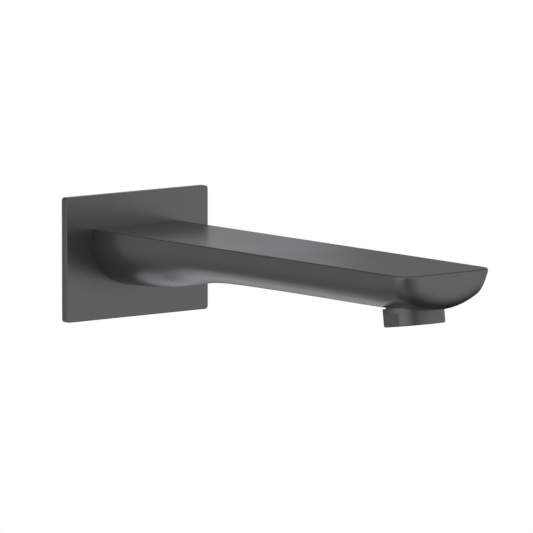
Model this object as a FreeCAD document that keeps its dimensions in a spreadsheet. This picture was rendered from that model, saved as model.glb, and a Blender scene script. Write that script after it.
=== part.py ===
"""A wall-mounted bath spout with its plate, its connector and its aerator.

Millimetres, +Z up. The origin lies on the wall, at the middle of the wall plate's back.
The spout reaches along -Y, and the connector's thread goes into the wall along +Y.
"""
import FreeCAD, Part
import math
import os
import re
import Sketcher
from FreeCAD import Placement, Rotation, Vector

# Driving sizes: name, value and what it is. Lengths in millimetres, angles in degrees.
SIZES = [
    # Wall plate and its seals
    ("plate_width", 80.0, "wall plate, side to side"),
    ("plate_height", 56.0, "wall plate, top to bottom"),
    ("plate_thickness", 3.5, "wall plate, front to back"),
    ("plate_corner", 1.5, "radius of the plate's four corners"),
    ("plate_edge", 0.4, "rounding of the plate's front edges"),
    ("plate_bore_radius", 13.0, "hole that the connector passes through"),
    ("plate_rim", 2.6, "rim left round the recess in the plate's back"),
    ("seal_thickness", 1.2, "foam seal, and the recess that it fills"),
    ("seal_clearance", 0.2, "seal to the recess round it"),
    ("seal_land", 2.4, "plate left between the bore and the recess"),
    ("plate_ring_section", 0.8, "section radius of the ring in the plate's bore"),
    # Spout casting: a flat top over a belly of three tangent arcs
    ("spout_width", 50.4, "casting, side to side"),
    ("spout_reach", 221.6, "wall to tip"),
    ("top_height", 12.7, "flat top over the inlet's axis"),
    ("belly_round", 1.15, "belly's corner arcs, against those of a half ellipse"),
    ("belly_limit", 0.93, "largest share of the belly's depth that a corner arc takes"),
    ("nose_side_round", 4.8, "rounding from the upright sides into the front"),
    ("nose_belly_round", 8.0, "rounding from the belly into the front"),
    ("top_edge", 0.4, "rounding of the top's edge"),
    # Waterway inside the casting
    ("casting_wall", 3.0, "wall round the waterway"),
    ("waterway_side", 1.5, "upright part of the waterway's side"),
    ("throat_radius", 7.5, "bore from the socket to the wide waterway"),
    ("waterway_corner", 3.0, "rounding at the waterway's blind end"),
    # Inlet: the connector and the socket over it
    ("socket_radius", 10.05, "socket in the casting's root"),
    ("socket_depth", 26.0, "socket from the casting's root face"),
    ("socket_lead", 0.8, "chamfer at the socket's mouth"),
    ("nipple_clearance", 0.1, "nipple to socket, on the radius"),
    ("nipple_end_gap", 1.0, "nipple's end to the socket's floor"),
    ("nipple_lead", 1.2, "chamfer at the nipple's end"),
    ("connector_bore", 6.93, "hexagon key's bore, centre to corner"),
    ("flange_clearance", 0.6, "connector's flange to the plate's bore"),
    ("flange_gap", 0.3, "flange to the casting's root face"),
    ("flange_setback", 0.3, "flange to the wall, so that only the plate meets the wall"),
    ("thread_radius", 10.478, "half-inch pipe thread, outside"),
    ("thread_length", 13.0, "thread that goes into the wall"),
    ("thread_lead", 1.0, "chamfer at the thread's end"),
    ("thread_relief", 1.5, "undercut between thread and flange"),
    ("thread_relief_depth", 1.2, "depth of that undercut"),
    ("ring_section", 0.9, "section radius of the nipple's two rings"),
    ("ring_clearance", 0.03, "ring to the walls round it"),
    ("ring_side_play", 0.2, "ring to the sides of its groove"),
    ("first_ring_from_wall", 9.0, "nipple's first ring"),
    ("ring_pitch", 5.5, "first ring to second ring"),
    ("screw_from_wall", 21.0, "grub screw's axis"),
    ("screw_radius", 2.5, "grub screw"),
    ("screw_length", 4.0, "grub screw"),
    ("screw_clearance", 0.06, "grub screw to its hole, on the radius"),
    ("screw_key_radius", 1.44, "grub screw's hexagon socket, centre to corner"),
    ("screw_key_depth", 1.8, "grub screw's hexagon socket"),
    ("screw_point", 1.4, "grub screw's cone point"),
    ("screw_groove_depth", 1.6, "groove in the nipple that the screw's point enters"),
    ("screw_groove_play", 0.4, "groove's edge to the screw"),
    ("screw_seat_gap", 0.1, "screw's point to the groove's floor"),
    # Outlet: measured along its own axis, from the seat face in the casting's underside
    ("outlet_setback", 24.8, "outlet's axis to the tip, at the seat face"),
    ("seat_depth", 16.0, "seat face under the flat top"),
    ("outlet_tilt", 8.2, "outlet's lean towards the tip"),
    ("seat_radius", 13.6, "seat face"),
    ("boss_radius", 15.2, "boss that stands in the waterway"),
    ("boss_height", 7.4, "boss over the seat face"),
    ("outlet_thread_radius", 12.05, "threaded hole, clear of the housing's thread"),
    ("outlet_thread_depth", 5.7, "threaded hole over the seat face"),
    ("outlet_bore_radius", 9.6, "bore from the waterway"),
    # Aerator
    ("collar_radius", 13.3, "housing's collar"),
    ("collar_height", 7.9, "housing's collar"),
    ("collar_gap", 0.8, "collar to the seat face"),
    ("collar_edge", 0.5, "rounding of the collar's lower edge"),
    ("collar_flats", 24.8, "across the collar's two flats"),
    ("flats_height", 5.8, "flats, from the collar's lower face"),
    ("thread_clearance", 0.2, "housing's thread to its hole, on the radius"),
    ("washer_thickness", 1.5, "flat washer over the housing"),
    ("washer_radius", 11.6, "flat washer, outside"),
    ("washer_bore", 8.9, "flat washer, inside"),
    ("housing_bore", 10.7, "housing, inside"),
    ("housing_lip", 9.7, "opening in the housing's lower face"),
    ("lip_thickness", 1.0, "lip under the insert"),
    ("insert_clearance", 0.15, "insert to the housing, on the radius"),
    ("insert_wall", 1.5, "insert's wall"),
    ("insert_ledge", 0.7, "ledge under the honeycomb"),
    ("ledge_reach", 0.6, "ledge, inwards from the insert's bore"),
    ("window_width", 2.2, "insert's air windows"),
    ("window_height", 3.0, "insert's air windows"),
    ("window_rise", 4.4, "air windows over the insert's lower face"),
    ("jet_disc_thickness", 1.6, "jet disc's plate"),
    ("jet_skirt", 1.2, "jet disc's skirt, down into the insert"),
    ("jet_skirt_wall", 1.0, "jet disc's skirt"),
    ("jet_hole_radius", 0.65, "jet disc's holes"),
    ("jet_inner_ring", 3.2, "radius of the inner ring of holes"),
    ("jet_outer_ring", 6.0, "radius of the outer ring of holes"),
    ("screen_sheet", 0.6, "filter screen's sheet"),
    ("screen_brim", 1.1, "filter screen's flat brim"),
    ("screen_rise", 2.2, "filter screen's crown over its brim"),
    ("screen_hole_radius", 0.5, "filter screen's holes"),
    ("screen_hole_pitch", 2.0, "between two rings of the screen's holes"),
    ("screen_clearance", 0.2, "filter screen to the washer, on the radius"),
    ("comb_height", 3.4, "honeycomb"),
    ("comb_clearance", 0.1, "honeycomb to the insert, on the radius"),
    ("comb_cell", 2.1, "honeycomb's cells, across their flats"),
    ("comb_wall", 0.5, "wall between two cells"),
    ("comb_rim", 0.8, "solid rim round the cells"),
    # Tools
    ("cut_past", 1.0, "how far a cut runs past the face that it opens"),
]
# The casting's sections: name, distance from the wall, upright part of the side, depth under the flat top
SECTIONS = [
    ("root", "=plate_thickness", 6.0, 26.3),
    ("shoulder", 26.0, 5.4, 25.2),
    ("upper_slope", 38.0, 4.8, 23.75),
    ("slope", 50.0, 4.0, 21.65),
    ("lower_slope", 62.0, 3.4, 19.8),
    ("foot", 76.0, 3.0, 18.8),
    ("arm_start", 100.0, 2.7, 18.35),
    ("arm_middle", "=(arm_start_from_wall + arm_end_from_wall) / 2", 2.5, 18.35),
    ("arm_end", "=spout_reach - 36.6", 2.4, 18.5),
    ("nose_start", "=spout_reach - 21.6", 2.0, 18.15),
    ("nose", "=spout_reach - 10.6", 1.3, 16.95),
    ("tip", "=spout_reach", 0.6, 15.4),
]
for section, from_wall, side, depth in SECTIONS:
    SIZES += [(f"{section}_from_wall", from_wall, "section's distance from the wall"),
              (f"{section}_side", side, "upright part of the side there"),
              (f"{section}_depth", depth, "casting under its top there")]
# The sections that the waterway runs between
WATER_FIRST, WATER_LAST = "upper_slope", "nose"
# How many of a thing there are
WINDOW_COUNT = 8
INNER_JET_COUNT = 6
OUTER_JET_COUNT = 12
FLAT_COUNT = 2
SCREEN_RINGS = ((1, 6), (2, 12))
# Two points closer than this count as touching
TOUCH = 0.001

doc = FreeCAD.newDocument("BathSpout")
sheet = doc.addObject("Spreadsheet::Sheet", "Sizes")
for row, (alias, number, meaning) in enumerate(SIZES, 1):
    sheet.set(f"A{row}", meaning)
    sheet.set(f"B{row}", str(number))
    sheet.setAlias(f"B{row}", alias)
doc.recompute()

ALIASES = re.compile(r"\b(" + "|".join(alias for alias, _, _ in SIZES) + r")\b")


def bound(text):
    """The expression that names the sheet's cells for a sum of sizes."""
    return ALIASES.sub(r"Sizes.\1", str(text))


def size(text):
    """The number that such a sum of sizes comes to."""
    return float(sheet.evalExpression(bound(text)))


# Places that several pieces share, as sums of the driving sizes
ROOT_FACE = "plate_thickness"
SOCKET_FLOOR = "plate_thickness + socket_depth"
NIPPLE_RADIUS = "(socket_radius - nipple_clearance)"
NIPPLE_END = "(plate_thickness + socket_depth - nipple_end_gap)"
FLANGE_RADIUS = "(plate_bore_radius - flange_clearance)"
FLANGE_FACE = "(plate_thickness - flange_gap)"
RING_GROOVE = "(socket_radius - 2 * (ring_section + ring_clearance))"
NIPPLE_RING_CENTRE = f"({RING_GROOVE} + ring_clearance + ring_section)"
SECOND_RING = "(first_ring_from_wall + ring_pitch)"
SCREW_GROOVE = f"({NIPPLE_RADIUS} - screw_groove_depth)"
PLATE_RING_CENTRE = f"({FLANGE_RADIUS} + ring_clearance + plate_ring_section)"
COLLAR_TOP = "(-collar_gap)"
COLLAR_FOOT = "(-collar_gap - collar_height)"
HOUSING_TOP = "(outlet_thread_depth - washer_thickness)"
INSERT_FOOT = f"({COLLAR_FOOT} + lip_thickness)"
INSERT_RADIUS = "(housing_bore - insert_clearance)"
INSERT_BORE = f"({INSERT_RADIUS} - insert_wall)"
INSERT_TOP = f"({HOUSING_TOP} - jet_disc_thickness)"
COMB_FOOT = f"({INSERT_FOOT} + insert_ledge)"
COMB_RADIUS = f"({INSERT_BORE} - comb_clearance)"
SCREEN_RADIUS = "(washer_bore - screen_clearance)"


def origin_feature(body, role):
    """One of a body's own origin planes or axes."""
    return next(f for f in body.Origin.OriginFeatures if f.Role == role)


def new_body(name):
    body = doc.addObject("PartDesign::Body", name)
    body.Label = name
    return body


def new_sketch(body, name, role, offset="0"):
    """An empty sketch on an origin plane, moved along the plane's normal."""
    sketch = body.newObject("Sketcher::SketchObject", name)
    sketch.AttachmentSupport = [(origin_feature(body, role), "")]
    sketch.MapMode = "FlatFace"
    if offset != "0":
        sketch.setExpression("AttachmentOffset.Base.z", bound(offset))
    return sketch


def pin_point(sketch, geometry, end, across, up):
    """Ties a sketch's point across and up to sums of sizes, or to an axis where the sum is 0."""
    for kind, text, axis in (("DistanceX", across, -2), ("DistanceY", up, -1)):
        if text is None:
            continue
        if text == "0":
            sketch.addConstraint(Sketcher.Constraint("PointOnObject", geometry, end, axis))
            continue
        number = sketch.addConstraint(Sketcher.Constraint(kind, -1, 1, geometry, end, size(text)))
        sketch.setExpression(f"Constraints[{number}]", bound(text))


def polygon(body, name, role, corners, offset="0"):
    """A closed outline of straight lines through corners that are sums of sizes."""
    sketch = new_sketch(body, name, role, offset)
    places = [Vector(size(across), size(up), 0) for across, up in corners]
    lines = [Part.LineSegment(a, b) for a, b in zip(places, places[1:] + places[:1])]
    numbers = sketch.addGeometry(lines, False)
    for number, (across, up) in zip(numbers, corners):
        before = number - 1 if number > numbers[0] else numbers[-1]
        sketch.addConstraint(Sketcher.Constraint("Coincident", before, 2, number, 1))
        pin_point(sketch, number, 1, across, up)
    return sketch


def add_circle(sketch, radius, across="0", up="0"):
    """Draws one circle in a sketch."""
    centre = Vector(size(across), size(up), 0)
    number = sketch.addGeometry(Part.Circle(centre, Vector(0, 0, 1), size(radius)), False)
    pin_point(sketch, number, 3, across, up)
    tie = sketch.addConstraint(Sketcher.Constraint("Radius", number, size(radius)))
    sketch.setExpression(f"Constraints[{tie}]", bound(radius))
    return sketch


def rectangle(body, name, role, half_width, half_height, offset="0"):
    """A rectangle about the origin."""
    left, foot = f"-({half_width})", f"-({half_height})"
    corners = [(left, foot), (half_width, foot), (half_width, half_height), (left, half_height)]
    return polygon(body, name, role, corners, offset)


def extrude(body, kind, sketch, length, reversed_way=False):
    """A pad or a pocket; a pocket cuts along its sketch's normal when it is reversed."""
    feature = body.newObject(f"PartDesign::{kind}", f"{body.Name}_{kind}")
    feature.Profile = (sketch, [""])
    feature.Type = 0
    feature.setExpression("Length", bound(length))
    feature.Reversed = reversed_way
    doc.recompute()
    return feature


def turn(body, kind, name, corners):
    """A revolution or a groove about the body's Z axis, from corners of radius and height."""
    sketch = polygon(body, name, "XZ_Plane", corners)
    feature = body.newObject(f"PartDesign::{kind}", f"{name}_turned")
    feature.Profile = (sketch, [""])
    feature.ReferenceAxis = (sketch, ["V_Axis"])
    feature.Angle = 360
    doc.recompute()
    return feature


def round_edges(body, base, radius, wanted, kind="Fillet"):
    """Fillets or chamfers the edges of the body so far that a test picks."""
    names = [f"Edge{i}" for i, edge in enumerate(base.Shape.Edges, 1) if wanted(edge)]
    feature = body.newObject(f"PartDesign::{kind}", f"{body.Name}_{kind}")
    feature.Base = (base, names)
    feature.setExpression("Radius" if kind == "Fillet" else "Size", bound(radius))
    doc.recompute()
    return feature


def repeat(body, feature, count):
    """Repeats a feature round the body's Z axis."""
    pattern = body.newObject("PartDesign::PolarPattern", f"{feature.Name}_pattern")
    pattern.Originals = [feature]
    pattern.Axis = (origin_feature(body, "Z_Axis"), [""])
    pattern.Angle = 360
    pattern.Occurrences = count
    body.Tip = pattern
    doc.recompute()
    return pattern


def hexagon(body, name, corner_radius, offset):
    """A hexagon round the body's axis, from its centre-to-corner size."""
    shares = ((1, 0), (0.5, "sqrt(0.75)"), (-0.5, "sqrt(0.75)"), (-1, 0), (-0.5, "-sqrt(0.75)"),
              (0.5, "-sqrt(0.75)"))
    corners = [[f"({corner_radius}) * {share}" if share else "0" for share in pair] for pair in shares]
    return polygon(body, name, "XY_Plane", corners, offset)


def cut(name, base, tool):
    """One piece less another."""
    result = doc.addObject("Part::Cut", name)
    result.Label = name
    result.Base, result.Tool = base, tool
    doc.recompute()
    return result


def upright(edge):
    """Whether an edge runs straight along the body's Z axis."""
    low, _, high = points_of(edge)
    return math.hypot(high.x - low.x, high.y - low.y) < TOUCH < abs(high.z - low.z)


def points_of(edge):
    """An edge's two ends and its middle."""
    first, last = edge.ParameterRange
    return [edge.valueAt(t) for t in (first, (first + last) / 2, last)]


def on_wall_axis(piece):
    """Turns a piece so that its own Z runs from the wall towards the tip."""
    piece.Placement = Placement(Vector(0, 0, 0), Rotation(Vector(1, 0, 0), 90))


def on_outlet_axis(piece):
    """Puts a piece on the outlet's leaning axis, its own Z pointing up into the casting."""
    piece.Placement = Placement(Vector(0, 0, 0), Rotation(Vector(-1, 0, 0), size("outlet_tilt")))
    piece.setExpression("Placement.Base.y", bound("outlet_setback - spout_reach"))
    piece.setExpression("Placement.Base.z", bound("top_height - seat_depth"))
    piece.setExpression("Placement.Rotation.Angle", bound("outlet_tilt * 1deg"))


def d_section(name, from_wall, half_width, top, side, depth):
    """A section of the spout: a flat top, two upright sides, and under them three tangent arcs."""
    low, deep, drop = f"({top} - ({side}))", f"({top} - ({depth}))", f"({depth} - ({side}))"
    corner = f"min(belly_round * {drop}^2 / ({half_width}); belly_limit * {drop})"
    a, z, y, b, r = (size(text) for text in (half_width, top, low, drop, corner))
    belly = ((a - r) ** 2 + b ** 2 - r ** 2) / (2 * (b - r))
    lean = math.asin((a - r) / (belly - r))
    up = Vector(0, 0, 1)
    foot = -math.pi / 2
    sketch = doc.addObject("Sketcher::SketchObject", name)
    sketch.setExpression("Placement.Base.z", bound(from_wall))
    top_line, right, left, right_arc, belly_arc, left_arc = sketch.addGeometry([
        Part.LineSegment(Vector(-a, z, 0), Vector(a, z, 0)),
        Part.LineSegment(Vector(a, z, 0), Vector(a, y, 0)),
        Part.LineSegment(Vector(-a, y, 0), Vector(-a, z, 0)),
        Part.ArcOfCircle(Part.Circle(Vector(a - r, y, 0), up, r), foot + lean, 0),
        Part.ArcOfCircle(Part.Circle(Vector(0, y - b + belly, 0), up, belly), foot - lean, foot + lean),
        Part.ArcOfCircle(Part.Circle(Vector(r - a, y, 0), up, r), -math.pi, foot - lean),
    ], False)
    lowest = sketch.addGeometry(Part.Point(Vector(0, y - b, 0)), True)
    joins = ((top_line, 2, right, 1), (right, 2, right_arc, 2), (left_arc, 1, left, 1), (left, 2, top_line, 1))
    for first, end, second, start in joins:
        sketch.addConstraint(Sketcher.Constraint("Coincident", first, end, second, start))
    pin_point(sketch, top_line, 1, f"-({half_width})", top)
    pin_point(sketch, top_line, 2, half_width, top)
    pin_point(sketch, right, 2, half_width, low)
    pin_point(sketch, left, 1, f"-({half_width})", low)
    pin_point(sketch, right_arc, 3, f"{half_width} - {corner}", low)
    pin_point(sketch, left_arc, 3, f"{corner} - ({half_width})", low)
    pin_point(sketch, lowest, 1, "0", deep)
    sketch.addConstraint(Sketcher.Constraint("PointOnObject", lowest, 1, belly_arc))
    sketch.addConstraint(Sketcher.Constraint("Tangent", right_arc, 1, belly_arc, 2))
    sketch.addConstraint(Sketcher.Constraint("Tangent", belly_arc, 1, left_arc, 2))
    return sketch


def lofted(name, sections):
    """One smooth solid through sections."""
    form = doc.addObject("Part::Loft", f"{name}_loft")
    form.Sections = sections
    form.Solid, form.Ruled = True, False
    doc.recompute()
    return form


def body_on(name, form):
    """A body that starts as a solid made before."""
    body = new_body(name)
    body.BaseFeature = form
    doc.recompute()
    return body


def round_nose(name, form, tip):
    """Rounds the end's edges: the sides' radius grows along the corner arcs into the belly's."""
    side, belly = size("nose_side_round"), size("nose_belly_round")
    edges = []
    for number, edge in enumerate(form.Shape.Edges, 1):
        first, middle, last = points_of(edge)
        if any(abs(p.z - tip) > TOUCH for p in (first, middle, last)):
            continue
        if abs(first.x - last.x) < TOUCH:
            edges.append((number, side, side))
        elif abs(first.y - last.y) > TOUCH:
            edges.append((number, belly, side) if first.y < last.y else (number, side, belly))
        elif middle.y < first.y - TOUCH:
            edges.append((number, belly, belly))
    rounded = doc.addObject("Part::Fillet", name)
    rounded.Base = form
    rounded.Edges = edges
    doc.recompute()
    return rounded


def make_wall_plate():
    """The plate that covers the hole in the wall, with a bore, a ring groove and a recess behind."""
    body = new_body("wall_plate")
    outline = rectangle(body, "plate_outline", "XY_Plane", "plate_width / 2", "plate_height / 2")
    slab = extrude(body, "Pad", outline, "plate_thickness")
    corners = round_edges(body, slab, "plate_corner", upright)
    front = size("plate_thickness")
    round_edges(body, corners, "plate_edge", lambda e: all(abs(p.z - front) < TOUCH for p in points_of(e)))
    recess = rectangle(body, "plate_recess", "XY_Plane", "plate_width / 2 - plate_rim",
                       "plate_height / 2 - plate_rim")
    add_circle(recess, "plate_bore_radius + seal_land")
    extrude(body, "Pocket", recess, "seal_thickness", True)
    groove = "plate_ring_section + ring_clearance"
    floor = f"{PLATE_RING_CENTRE} + {groove}"
    turn(body, "Groove", "plate_bore", [
        ("0", "-cut_past"),
        ("plate_bore_radius", "-cut_past"),
        ("plate_bore_radius", f"plate_thickness / 2 - ({groove})"),
        (floor, f"plate_thickness / 2 - ({groove})"),
        (floor, f"plate_thickness / 2 + {groove}"),
        ("plate_bore_radius", f"plate_thickness / 2 + {groove}"),
        ("plate_bore_radius", "plate_thickness + cut_past"),
        ("0", "plate_thickness + cut_past"),
    ])
    on_wall_axis(body)
    return body


def make_plate_seal():
    """A closed-cell foam seal in the plate's back."""
    body = new_body("plate_seal")
    gap = "plate_rim + seal_clearance"
    outline = rectangle(body, "seal_outline", "XY_Plane", f"plate_width / 2 - ({gap})",
                        f"plate_height / 2 - ({gap})")
    add_circle(outline, "plate_bore_radius + seal_land + seal_clearance")
    extrude(body, "Pad", outline, "seal_thickness")
    on_wall_axis(body)
    return body


def make_ring(name, centre_radius, section, from_wall):
    """A rubber ring round the inlet's axis."""
    ring = doc.addObject("Part::Torus", name)
    ring.Label = name
    ring.setExpression("Radius1", bound(centre_radius))
    ring.setExpression("Radius2", bound(section))
    on_wall_axis(ring)
    ring.setExpression("Placement.Base.y", bound(f"-({from_wall})"))
    return ring


def make_wall_connector():
    """The turned connector: pipe thread, undercut, flange, nipple, two ring grooves and a screw groove."""
    body = new_body("wall_connector")
    ring_half = "(ring_section + ring_side_play)"
    screw_half = "(screw_radius + screw_groove_play)"
    corners = [("0", "-thread_relief - thread_length"),
               ("thread_radius - thread_lead", "-thread_relief - thread_length"),
               ("thread_radius", "-thread_relief - thread_length + thread_lead"),
               ("thread_radius", "-thread_relief"),
               ("thread_radius - thread_relief_depth", "-thread_relief"),
               ("thread_radius - thread_relief_depth", "flange_setback"),
               (FLANGE_RADIUS, "flange_setback"),
               (FLANGE_RADIUS, FLANGE_FACE),
               (NIPPLE_RADIUS, FLANGE_FACE)]
    for ring in ("first_ring_from_wall", SECOND_RING):
        corners += [(NIPPLE_RADIUS, f"{ring} - {ring_half}"), (RING_GROOVE, f"{ring} - {ring_half}"),
                    (RING_GROOVE, f"{ring} + {ring_half}"), (NIPPLE_RADIUS, f"{ring} + {ring_half}")]
    corners += [(NIPPLE_RADIUS, f"screw_from_wall - {screw_half}"),
                (SCREW_GROOVE, f"screw_from_wall - {screw_half} + screw_groove_depth"),
                (SCREW_GROOVE, f"screw_from_wall + {screw_half} - screw_groove_depth"),
                (NIPPLE_RADIUS, f"screw_from_wall + {screw_half}"),
                (NIPPLE_RADIUS, f"{NIPPLE_END} - nipple_lead"),
                (f"{NIPPLE_RADIUS} - nipple_lead", NIPPLE_END),
                ("0", NIPPLE_END)]
    turn(body, "Revolution", "connector", corners)
    key = hexagon(body, "connector_key", "connector_bore", NIPPLE_END)
    extrude(body, "Pocket", key, f"{NIPPLE_END} + thread_relief + thread_length")
    on_wall_axis(body)
    return body


def make_grub_screw():
    """The set screw in the underside, its point up in the connector's groove."""
    body = new_body("grub_screw")
    turn(body, "Revolution", "screw", [
        ("0", "0"),
        ("screw_radius", "0"),
        ("screw_radius", "screw_length - screw_point"),
        ("screw_radius - screw_point", "screw_length"),
        ("0", "screw_length"),
    ])
    extrude(body, "Pocket", hexagon(body, "screw_key", "screw_key_radius", "0"), "screw_key_depth", True)
    body.setExpression("Placement.Base.y", bound("-screw_from_wall"))
    body.setExpression("Placement.Base.z", bound(f"-({SCREW_GROOVE} + screw_seat_gap + screw_length)"))
    return body


def make_casting_outside():
    """The casting's outer form: one loft from the plate to the tip, its nose and top edge rounded."""
    half = "spout_width / 2"
    form = lofted("casting_outside", [
        d_section(f"{name}_section", f"{name}_from_wall", half, "top_height", f"{name}_side", f"{name}_depth")
        for name, _, _, _ in SECTIONS])
    body = body_on("casting_outside", round_nose("casting_nose", form, size("spout_reach")))
    top, root = size("top_height"), size(ROOT_FACE)
    round_edges(body, body.Tip, "top_edge",
                lambda e: all(abs(p.y - top) < TOUCH for p in points_of(e))
                and any(p.z > root + TOUCH for p in points_of(e)))
    on_wall_axis(body)
    return body


def make_waterway():
    """The hollow that the casting's core leaves, less the boss that carries the outlet's thread."""
    half = "spout_width / 2 - casting_wall"
    top = "top_height - casting_wall"
    names = [name for name, _, _, _ in SECTIONS]
    form = lofted("waterway_core", [
        d_section(f"water_{name}_section", f"{name}_from_wall", half, top, "waterway_side",
                  f"{name}_depth - 2 * casting_wall")
        for name in names[names.index(WATER_FIRST):names.index(WATER_LAST) + 1]])
    core = body_on("waterway_core", form)
    end = size(f"{WATER_LAST}_from_wall")
    round_edges(core, core.Tip, "waterway_corner", lambda e: all(abs(p.z - end) < TOUCH for p in points_of(e))
                and any(p.y < size(top) - TOUCH for p in points_of(e)))
    on_wall_axis(core)
    boss = new_body("outlet_boss")
    turn(boss, "Revolution", "boss", [("0", "-casting_wall"), ("boss_radius", "-casting_wall"),
                                      ("boss_radius", "boss_height"), ("0", "boss_height")])
    on_outlet_axis(boss)
    return cut("waterway", core, boss)


def make_spout_body():
    """The casting: outside less waterway, then the machined socket, outlet and screw hole."""
    rough = cut("rough_casting", make_casting_outside(), make_waterway())
    inlet = new_body("inlet_bore")
    turn(inlet, "Revolution", "inlet", [
        ("0", f"{ROOT_FACE} - cut_past"),
        ("socket_radius + socket_lead + cut_past", f"{ROOT_FACE} - cut_past"),
        ("socket_radius", f"{ROOT_FACE} + socket_lead"),
        ("socket_radius", SOCKET_FLOOR),
        ("throat_radius", SOCKET_FLOOR),
        ("throat_radius", f"{WATER_FIRST}_from_wall + cut_past"),
        ("0", f"{WATER_FIRST}_from_wall + cut_past"),
    ])
    on_wall_axis(inlet)
    outlet = new_body("outlet_bore")
    turn(outlet, "Revolution", "outlet", [
        ("0", COLLAR_FOOT),
        ("seat_radius", COLLAR_FOOT),
        ("seat_radius", "0"),
        ("outlet_thread_radius", "0"),
        ("outlet_thread_radius", "outlet_thread_depth"),
        ("outlet_bore_radius", "outlet_thread_depth"),
        ("outlet_bore_radius", "boss_height + cut_past"),
        ("0", "boss_height + cut_past"),
    ])
    on_outlet_axis(outlet)
    hole = doc.addObject("Part::Cylinder", "screw_hole")
    hole.setExpression("Radius", bound("screw_radius + screw_clearance"))
    hole.setExpression("Height", bound("root_depth"))
    hole.setExpression("Placement.Base.y", bound("-screw_from_wall"))
    hole.setExpression("Placement.Base.z", bound(f"-({SCREW_GROOVE} + root_depth)"))
    machined = doc.addObject("Part::MultiFuse", "machined_bores")
    machined.Shapes = [inlet, outlet, hole]
    return cut("spout_body", rough, machined)


def make_aerator_collar():
    """The aerator's housing: a threaded neck over a collar with two spanner flats."""
    body = new_body("aerator_collar")
    neck = "outlet_thread_radius - thread_clearance"
    form = turn(body, "Revolution", "collar", [
        ("housing_lip", COLLAR_FOOT),
        ("collar_radius", COLLAR_FOOT),
        ("collar_radius", COLLAR_TOP),
        (neck, COLLAR_TOP),
        (neck, HOUSING_TOP),
        ("housing_bore", HOUSING_TOP),
        ("housing_bore", INSERT_FOOT),
        ("housing_lip", INSERT_FOOT),
    ])
    foot = size(COLLAR_FOOT)
    round_edges(body, form, "collar_edge", lambda e: all(abs(p.z - foot) < TOUCH for p in points_of(e))
                and points_of(e)[0].Length > size("housing_bore"))
    flat = polygon(body, "flat_outline", "XY_Plane", [
        ("collar_flats / 2", "-collar_radius"),
        ("collar_radius + cut_past", "-collar_radius"),
        ("collar_radius + cut_past", "collar_radius"),
        ("collar_flats / 2", "collar_radius"),
    ], COLLAR_FOOT)
    repeat(body, extrude(body, "Pocket", flat, "flats_height", True), FLAT_COUNT)
    on_outlet_axis(body)
    return body


def make_aerator_washer():
    """The flat washer that the housing presses up against its shoulder."""
    body = new_body("aerator_washer")
    turn(body, "Revolution", "washer", [
        ("washer_bore", HOUSING_TOP),
        ("washer_radius", HOUSING_TOP),
        ("washer_radius", "outlet_thread_depth"),
        ("washer_bore", "outlet_thread_depth"),
    ])
    on_outlet_axis(body)
    return body


def make_aerator_insert():
    """The insert: a sleeve with a ledge under the honeycomb and windows that let air in."""
    body = new_body("aerator_insert")
    ledge = f"{INSERT_BORE} - ledge_reach"
    turn(body, "Revolution", "insert", [
        (ledge, INSERT_FOOT),
        (INSERT_RADIUS, INSERT_FOOT),
        (INSERT_RADIUS, INSERT_TOP),
        (INSERT_BORE, INSERT_TOP),
        (INSERT_BORE, COMB_FOOT),
        (ledge, COMB_FOOT),
    ])
    low = f"{INSERT_FOOT} + window_rise"
    window = polygon(body, "window_outline", "XZ_Plane", [
        ("-window_width / 2", low),
        ("window_width / 2", low),
        ("window_width / 2", f"{low} + window_height"),
        ("-window_width / 2", f"{low} + window_height"),
    ])
    repeat(body, extrude(body, "Pocket", window, "housing_bore"), WINDOW_COUNT)
    on_outlet_axis(body)
    return body


def make_aerator_jet_disc():
    """The disc that breaks the flow into jets, its skirt inside the insert."""
    body = new_body("aerator_jet_disc")
    skirt = COMB_RADIUS
    turn(body, "Revolution", "jet_disc", [
        ("0", INSERT_TOP),
        (f"{skirt} - jet_skirt_wall", INSERT_TOP),
        (f"{skirt} - jet_skirt_wall", f"{INSERT_TOP} - jet_skirt"),
        (skirt, f"{INSERT_TOP} - jet_skirt"),
        (skirt, INSERT_TOP),
        (INSERT_RADIUS, INSERT_TOP),
        (INSERT_RADIUS, HOUSING_TOP),
        ("0", HOUSING_TOP),
    ])
    for name, ring, count in (("inner_jet", "jet_inner_ring", INNER_JET_COUNT),
                              ("outer_jet", "jet_outer_ring", OUTER_JET_COUNT)):
        sketch = new_sketch(body, name, "XY_Plane", HOUSING_TOP)
        add_circle(sketch, "jet_hole_radius", ring)
        repeat(body, extrude(body, "Pocket", sketch, "jet_disc_thickness + cut_past"), count)
    on_outlet_axis(body)
    return body


def make_aerator_screen():
    """The filter screen over the jet disc: a flat-topped hat with rings of holes."""
    body = new_body("aerator_screen")
    top = f"{HOUSING_TOP} + screen_rise"
    shoulder = f"{SCREEN_RADIUS} - screen_brim"
    turn(body, "Revolution", "screen", [
        (shoulder, HOUSING_TOP),
        (SCREEN_RADIUS, HOUSING_TOP),
        (SCREEN_RADIUS, f"{HOUSING_TOP} + screen_sheet"),
        (shoulder, f"{HOUSING_TOP} + screen_sheet"),
        (f"{shoulder} - screen_rise", top),
        ("0", top),
        ("0", f"{top} - screen_sheet"),
        (f"{shoulder} - screen_rise", f"{top} - screen_sheet"),
    ])
    for ring, count in SCREEN_RINGS:
        sketch = new_sketch(body, f"screen_hole_{count}", "XY_Plane", top)
        add_circle(sketch, "screen_hole_radius", f"screen_hole_pitch * {ring}")
        repeat(body, extrude(body, "Pocket", sketch, "screen_sheet + screen_hole_radius"), count)
    on_outlet_axis(body)
    return body


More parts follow.
